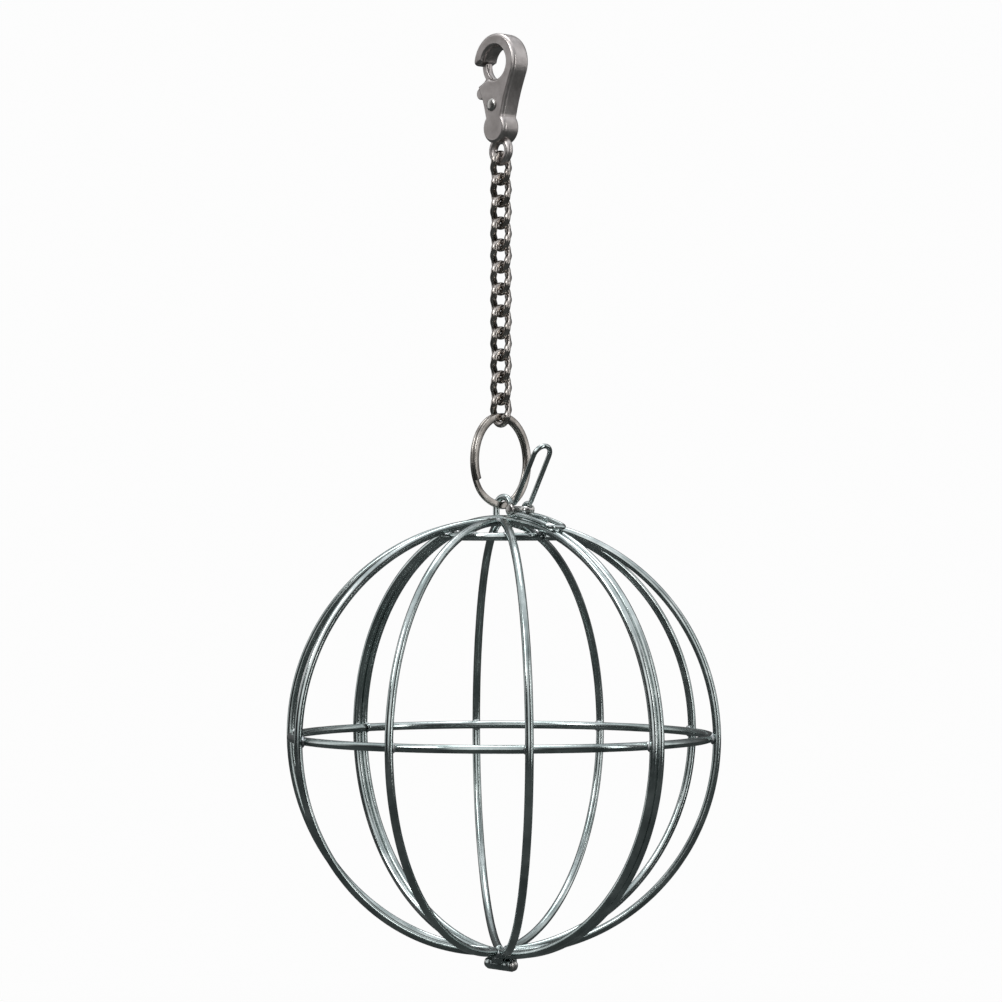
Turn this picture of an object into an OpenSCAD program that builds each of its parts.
// Hanging wire hay ball: two hinged half cages of spot-welded wire, a wire latch,
// a split ring, a twisted-link chain and a spring clip with a pivoted gate.
// +Z is up. The origin is the centre of the clip's hook hole, where the feeder hangs.
// The ball opens at the plane y = 0: the rear half lies towards +Y, the front half towards -Y.

/* [Ball] */
// Outside diameter of the closed wire ball
ball_d = 80; // [76:1:90]
// Diameter of the cage wire
wire_d = 1.5; // [1.3:0.1:1.6]
// Distance from each rim's centre line to the split plane
rim_off = 0.8; // [0.8:0.01:0.9]
// Radius of the small ring that ties the hoops near the top
top_ring_r = 10.5; // [9:0.5:13]

/* [Latch] */
// Diameter of the latch wire
latch_wire_d = 0.9; // [0.7:0.1:0.9]
// Length of the thumb loop, from the pivot to the loop's bend
thumb_len = 11.1; // [8:0.1:12]
// Angle of the thumb loop above the rim's tangent
thumb_ang = 60; // [50:1:70]

/* [Split ring] */
// Outside diameter of the split ring
ring_d = 17.4; // [16:0.1:20]
// Width of one coil, measured towards the ring's centre
coil_w = 1.3; // [1.1:0.05:1.3]
// Thickness of one coil, measured along the ring's axis
coil_t = 0.6; // [0.5:0.05:0.6]

/* [Chain] */
// Diameter of the link wire
link_wire_d = 1.2; // [1.0:0.1:1.2]
// Centre line radius of each end of a link
link_bend_r = 1.7; // [1.7:0.05:1.9]
// Distance between the two bend centres of a link
link_straight = 1.85; // [1.85:0.05:2.4]

/* [Clip] */
// Radius of the clip's rounded top
clip_top_r = 5.4; // [5.2:0.1:6]
// Thickness of the clip's body
clip_t = 4; // [3.8:0.1:4.6]
// Radius of the hook hole
hook_r = 3; // [2.8:0.1:3.1]

/* [Hidden] */
$fn = 48;
wire_fn = 32;
hole_fn = 64;
ring_fn = 96;

zinc = [0.62, 0.66, 0.67];
nickel = [0.56, 0.53, 0.50];
clip_metal = [0.60, 0.56, 0.54];
dark_metal = [0.35, 0.35, 0.36];

// ---- Helpers ----
function polar(radius, angle) = [radius * cos(angle), radius * sin(angle)];

// Part of a torus about Z
module arc_wire(radius, bar_r, start, sweep) {
  rotate([0, 0, start]) rotate_extrude(angle = sweep, $fn = ring_fn)
    translate([radius, 0]) circle(r = bar_r, $fn = wire_fn);
}

// Round bar between two points
module rod(from, to, bar_r) {
  run = to - from;
  length = norm(run);
  translate(from) rotate([0, acos(run[2] / length), atan2(run[1], run[0])])
    cylinder(r = bar_r, h = length, $fn = wire_fn);
}

// Ball that fills a corner between two wires
module joint(bar_r) { sphere(r = bar_r * 1.02, $fn = wire_fn); }

// Pin along Z, with a head centred at head_z from the middle on each side
module headed_pin(pin_r, length, head_r, head_t, head_z) {
  cylinder(r = pin_r, h = length, center = true);
  for (side = [-1, 1]) translate([0, 0, side * head_z])
    cylinder(r = head_r, h = head_t, center = true);
}

// Stand XY work up in the XZ plane: Y becomes Z, and Z becomes -Y
module upright() { rotate([90, 0, 0]) children(); }

// ---- Clip: its flat shapes are drawn in x and z, and its mouth opens to -X ----
eye_r = 2.0;                  // centre line radius of the chain eye
eye_wire_r = 0.8;
eye_z = -clip_top_r - 10.4;
boss_r = 2.9;                 // rounded foot that carries the eye
boss_z = eye_z + 1.2 + boss_r;
neck_half = 2.1;              // half width of the body where it meets the boss
neck_z = boss_z + 1.2;
shoulder_half = clip_top_r * 0.93;
shoulder_z = -2;
pivot = [-0.4, -7.6];         // gate pivot
rivet_r = 0.8;
slot_w = 1.7;                 // slot for the gate
slot_corner = [-8, -9.7];
slot_size = [9.6, 8.7];
mouth_top = 170;              // angles of the mouth's corners on the hook hole
mouth_foot = 240;
mouth_reach = 9;              // beyond the clip's outline
lip_r = norm(polar(hook_r, mouth_top) - pivot); // about the pivot, so the gate swings past
gate_r = 4.2;                 // outer radius of the gate's arm
gate_t = 1.5;
gate_play = 0.12;             // between the gate's tip and the lip
hub_r = 1.5;
pocket_r = 1.75;              // pocket for the spring in one side of the hub
pocket_depth = 0.9;           // measured from the plane y = 0
rivet_head_t = 0.4;
spring_r = 1.2;
spring_wire_r = 0.17;
spring_y = 0.24;              // first coil
spring_pitch = 0.3;

module at_pivot(y = 0) { translate([pivot[0], y, pivot[1]]) children(); }

module clip_outline() {
  circle(r = clip_top_r, $fn = ring_fn);
  polygon([
    [-shoulder_half, shoulder_z], [shoulder_half, shoulder_z],
    [neck_half, neck_z], [neck_half, boss_z],
    [-neck_half, boss_z], [-neck_half, neck_z]
  ]);
  translate([0, boss_z]) circle(r = boss_r, $fn = hole_fn);
}

module clip_mouth() {
  intersection() {
    polygon([
      [0, 0], polar(mouth_reach, mouth_top - 12), polar(mouth_reach, mouth_top + 10),
      [-9, -4], [-7, -5.2], polar(hook_r, mouth_foot)
    ]);
    translate(pivot) circle(r = lip_r, $fn = ring_fn);
  }
}

module clip_body() {
  color(clip_metal) {
    difference() {
      upright() linear_extrude(height = clip_t, center = true) difference() {
        clip_outline();
        circle(r = hook_r, $fn = hole_fn);
        clip_mouth();
      }
      translate([slot_corner[0], -slot_w / 2, slot_corner[1]])
        cube([slot_size[0], slot_w, slot_size[1]]);
      at_pivot() upright() cylinder(r = rivet_r, h = 10, center = true);
    }
    translate([0, 0, eye_z]) upright() arc_wire(eye_r, eye_wire_r, 0, 360);
  }
}

// Curved tip of the gate, which closes the mouth
module gate_tip() {
  intersection() {
    difference() {
      circle(r = gate_r, $fn = ring_fn);
      circle(r = hook_r, $fn = hole_fn);
    }
    polygon([
      [0, 0], polar(mouth_reach, mouth_top - 12), polar(mouth_reach, mouth_top + 15),
      polar(mouth_reach, mouth_top + 40), polar(mouth_reach, mouth_foot),
      polar(mouth_reach, mouth_foot + 3)
    ]);
    translate(pivot) circle(r = lip_r - gate_play, $fn = ring_fn);
  }
}

// Arm from the tip to the hub, with a round knob on its -X side
module gate_arm() {
  polygon([
    polar(hook_r, mouth_foot + 3), polar(gate_r, mouth_foot - 24),
    [-4.4, -3.9], [-3.1, -6.2],
    pivot - [hub_r, 0], pivot + [hub_r, 0],
    [-0.3, -5.4], [-1.0, -4.2]
  ]);
  translate([-4.7, -5.0]) circle(r = 1.1);
  translate(pivot) circle(r = hub_r);
}

module clip_gate() {
  color(clip_metal) difference() {
    upright() linear_extrude(height = gate_t, center = true) difference() {
      union() {
        gate_tip();
        gate_arm();
      }
      translate(pivot) circle(r = rivet_r + 0.06);
    }
    at_pivot(pocket_depth) upright() cylinder(r = pocket_r, h = pocket_depth);
  }
}

module clip_rivet() {
  color(nickel) at_pivot() upright()
    headed_pin(rivet_r, clip_t, 1.2, rivet_head_t, (clip_t + rivet_head_t) / 2);
}

module clip_spring() {
  color(dark_metal) {
    for (i = [0, 1]) at_pivot(spring_y + i * spring_pitch) upright()
      arc_wire(spring_r, spring_wire_r, 0, 360);
    at_pivot(spring_y + spring_pitch / 2) rod([spring_r, 0, 0], [1.73, 0, 2.6], spring_wire_r);
  }
}

// ---- Chain: each link is turned a quarter between its two ends ----
link_count = 12;
link_wire_r = link_wire_d / 2;
link_play = 0.06;             // between neighbouring links
link_pitch = 2 * (link_bend_r - link_wire_r) + link_straight - link_play;
chain_top_z = eye_z - eye_r + eye_wire_r + link_wire_r + link_play / 2; // top centre line
link1_z = chain_top_z - link_bend_r - link_straight / 2;
function link_z(number) = link1_z - (number - 1) * link_pitch;

module chain_link(number) {
  half = link_straight / 2;
  color(nickel) translate([0, 0, link_z(number)]) {
    translate([0, 0, half]) rotate([0, 0, 90]) upright()
      arc_wire(link_bend_r, link_wire_r, 0, 180);
    translate([0, 0, -half]) upright() arc_wire(link_bend_r, link_wire_r, 180, 180);
    for (side = [-1, 1]) {
      upper = [0, side * link_bend_r, half];
      lower = [side * link_bend_r, 0, -half];
      rod(upper, lower, link_wire_r);
      translate(upper) joint(link_wire_r);
      translate(lower) joint(link_wire_r);
    }
  }
}

// ---- Split ring: two flat coils side by side, joined by a step ----
ring_turn = 11;               // from the YZ plane, to run square through the twisted link
ring_drop = 0.3;              // coil section's centre below the last link's bend centre
ring_mid_r = ring_d / 2 - coil_w / 2;
ring_z = link_z(link_count) - link_straight / 2 - ring_drop - ring_mid_r;
coil_gap = 0.05;
coil_x = (coil_t + coil_gap) / 2;

module coil_section() {
  flat = coil_w - coil_t;
  square([flat, coil_t], center = true);
  for (side = [-1, 1]) translate([side * flat / 2, 0]) circle(r = coil_t / 2, $fn = wire_fn);
}

// Sweep a section about the ring's axis; angles start at the ring's lowest point
module ring_sweep(start, sweep) {
  rotate([0, 90, 180]) rotate([0, 0, start]) rotate_extrude(angle = sweep, $fn = ring_fn)
    translate([ring_mid_r, 0]) children();
}

module split_ring() {
  color(nickel) translate([0, 0, ring_z]) rotate([0, 0, ring_turn]) {
    translate([coil_x, 0, 0]) ring_sweep(65, 333) coil_section();
    translate([-coil_x, 0, 0]) ring_sweep(32, 323) coil_section();
    // The step carries the wire from one coil to the other
    ring_sweep(31, 8) square([coil_w * 0.8, 2 * coil_x + coil_t * 0.7], center = true);
  }
}

// ---- Ball: side is 1 for the rear half and -1 for the front half ----
wire_r = wire_d / 2;
rim_r = ball_d / 2 - wire_r;
hoop_shift = 0.5;             // each hoop's centre lies this far out from the ball's axis
hoop_r = rim_r - hoop_shift;  // hoops match the rims at the equator and tuck under at the poles
hoop_end = 2.2;               // the hoops stop this far from the pole axis
hoop_step = 180 / (4 + 1);    // four hoops on each half
equator_r = rim_r - wire_d + 0.1; // inside the hoops, biting 0.1 into them
end_gap = 0.2;                // from the cross wires' end centres to the split plane
hanger_r = 1.95;              // hanger eye centre line radius
hanger_wire_r = 0.6;
hanger_y = 0.65;
hanger_z = ball_d / 2 + 1.3;  // eye's bend centre above the ball's centre
hanger_foot_z = rim_r - 0.3;
ball_z = ring_z - ring_mid_r - (hanger_z + 0.4);

module at_ball() { translate([0, 0, ball_z]) children(); }

module rim(side) {
  color(zinc) at_ball() translate([0, side * rim_off, 0]) upright()
    arc_wire(rim_r, wire_r, 0, 360);
}

// Half hoop from near one pole to near the other; number counts steps of azimuth
// from +X, positive round the rear and negative round the front
module hoop(number) {
  reach = acos((hoop_end - hoop_shift) / hoop_r);
  color(zinc) at_ball() rotate([0, 0, number * hoop_step]) translate([hoop_shift, 0, 0])
    upright() arc_wire(hoop_r, wire_r, -reach, 2 * reach);
}

// Level half circle that stops short of the split plane
module half_ring(side, radius, bar_r) {
  trim = asin(end_gap / radius);
  rotate([0, 0, side > 0 ? 0 : 180]) arc_wire(radius, bar_r, trim, 180 - 2 * trim);
}

module equator(side) { color(zinc) at_ball() half_ring(side, equator_r, wire_r); }

// Lies inside the hoops and bites into them
module top_ring(side) {
  seat_r = hoop_r - wire_d + 0.15;
  z = sqrt(seat_r * seat_r - (top_ring_r - hoop_shift) * (top_ring_r - hoop_shift));
  color(zinc) at_ball() translate([0, 0, z]) half_ring(side, top_ring_r, wire_r * 0.9);
}

module hanger_eye() {
  color(zinc) at_ball() translate([0, hanger_y, 0]) {
    translate([0, 0, hanger_z]) upright() arc_wire(hanger_r, hanger_wire_r, 0, 180);
    for (side = [-1, 1]) translate([side * hanger_r, 0, hanger_foot_z])
      cylinder(r = hanger_wire_r, h = hanger_z - hanger_foot_z, $fn = wire_fn);
  }
}

// ---- Latch: angles lean from the top pole towards +X ----
latch_r = latch_wire_d / 2;
leg_y = 1.9;                  // each leg's distance from the split plane
pin_ang = 7;
pin_dist = ball_d / 2 + 1.25; // pin's distance from the ball's centre
pin_x = pin_dist * sin(pin_ang);
pin_z = pin_dist * cos(pin_ang);
pin_r = 0.6;
loop_r = pin_r + 0.1 + latch_r; // centre line radius of the loops round the pin
tail_r = ball_d / 2 + latch_r + 0.05;
tail_ang = 21.5;
tail_start = pin_ang + 1.6;
stub_ang = 17.5;
stub_top = ball_d / 2 + 1.5;
function thumb_point(along, y) =
  [pin_x + along * cos(thumb_ang), y, pin_z + along * sin(thumb_ang)];

// Stub standing out from a rim
module rim_stub(y, angle, stub_r, top) {
  color(zinc) at_ball() translate([0, y, 0]) rotate([0, angle, 0]) translate([0, 0, rim_r])
    cylinder(r = stub_r, h = top - rim_r, $fn = wire_fn);
}

module latch_post() { rim_stub(hanger_y, pin_ang, 0.6, pin_dist); }

module catch_stub() { rim_stub(-rim_off, stub_ang, 0.5, stub_top); }

module latch_pin() {
  leg_face = leg_y + latch_r;
  color(zinc) at_ball() rotate([0, pin_ang, 0]) translate([0, 0, pin_dist]) upright()
    headed_pin(pin_r, 2 * (leg_face + 0.45), 1.05, 0.4, leg_face + 0.25, $fn = wire_fn);
}

module latch_lever() {
  tail_x = tail_r * sin(tail_ang);
  tail_z = tail_r * cos(tail_ang);
  color(zinc) at_ball() {
    for (y = [-leg_y, leg_y]) {
      translate([pin_x, y, pin_z]) upright() arc_wire(loop_r, latch_r, 0, 360);
      // Tail leg along the rims
      translate([0, y, 0]) upright()
        arc_wire(tail_r, latch_r, 90 - tail_ang, tail_ang - tail_start);
      rod(thumb_point(loop_r, y), thumb_point(thumb_len, y), latch_r);
      translate([tail_x, y, tail_z]) joint(latch_r);
      translate(thumb_point(thumb_len, y)) joint(latch_r);
    }
    // Crossbar at the end of the tail
    translate([tail_x, 0, tail_z]) upright()
      cylinder(r = latch_r, h = 2 * leg_y, center = true, $fn = wire_fn);
    // Bend of the thumb loop
    translate(thumb_point(thumb_len, 0)) rotate([0, -thumb_ang, 0])
      arc_wire(leg_y, latch_r, -90, 180);
  }
}

// ---- Hinge: along X, below the ball ----
hinge_z = -(rim_r + 1.85);
knuckle_r = 1.15;
hinge_pin_r = 0.6;
tab_y = 0.3;                  // tab's near face from the split plane
tab_t = 0.9;

module at_hinge(x = 0) { translate([x, 0, hinge_z]) rotate([0, 90, 0]) children(); }

// Bored barrel with a tab up to the rim's lowest point
module knuckle(x, width, side, bore_r) {
  difference() {
    union() {
      at_hinge(x) cylinder(r = knuckle_r, h = width);
      translate([x, side > 0 ? tab_y : -tab_y - tab_t, hinge_z])
        cube([width, tab_t, -hinge_z - rim_r]);
    }
    at_hinge(x - 1) cylinder(r = bore_r, h = width + 2);
  }
}

module rear_hinge_knuckles() {
  color(zinc) at_ball() for (x = [1.5, -3.1]) knuckle(x, 1.6, 1, hinge_pin_r);
}

module front_hinge_knuckle() {
  color(zinc) at_ball() knuckle(-1.4, 2.8, -1, hinge_pin_r + 0.06);
}

module hinge_pin() { color(zinc) at_ball() at_hinge() headed_pin(hinge_pin_r, 7, 1.0, 0.5, 3.4); }

clip_body();
clip_gate();
clip_rivet();
clip_spring();
chain_link(1);  // chain_link_01
chain_link(2);  // chain_link_02
chain_link(3);  // chain_link_03
chain_link(4);  // chain_link_04
chain_link(5);  // chain_link_05
chain_link(6);  // chain_link_06
chain_link(7);  // chain_link_07
chain_link(8);  // chain_link_08
chain_link(9);  // chain_link_09
chain_link(10);  // chain_link_10
chain_link(11);  // chain_link_11
chain_link(12);  // chain_link_12
split_ring();
rim(1);  // rear_rim
hoop(1);  // rear_hoop_1
hoop(2);  // rear_hoop_2
hoop(3);  // rear_hoop_3
hoop(4);  // rear_hoop_4
equator(1);  // rear_equator
top_ring(1);  // rear_top_ring
hanger_eye();
latch_post();
latch_pin();
rear_hinge_knuckles();
hinge_pin();
rim(-1);  // front_rim
hoop(-1);  // front_hoop_1
hoop(-2);  // front_hoop_2
hoop(-3);  // front_hoop_3
hoop(-4);  // front_hoop_4
equator(-1);  // front_equator
top_ring(-1);  // front_top_ring
catch_stub();
front_hinge_knuckle();
latch_lever();
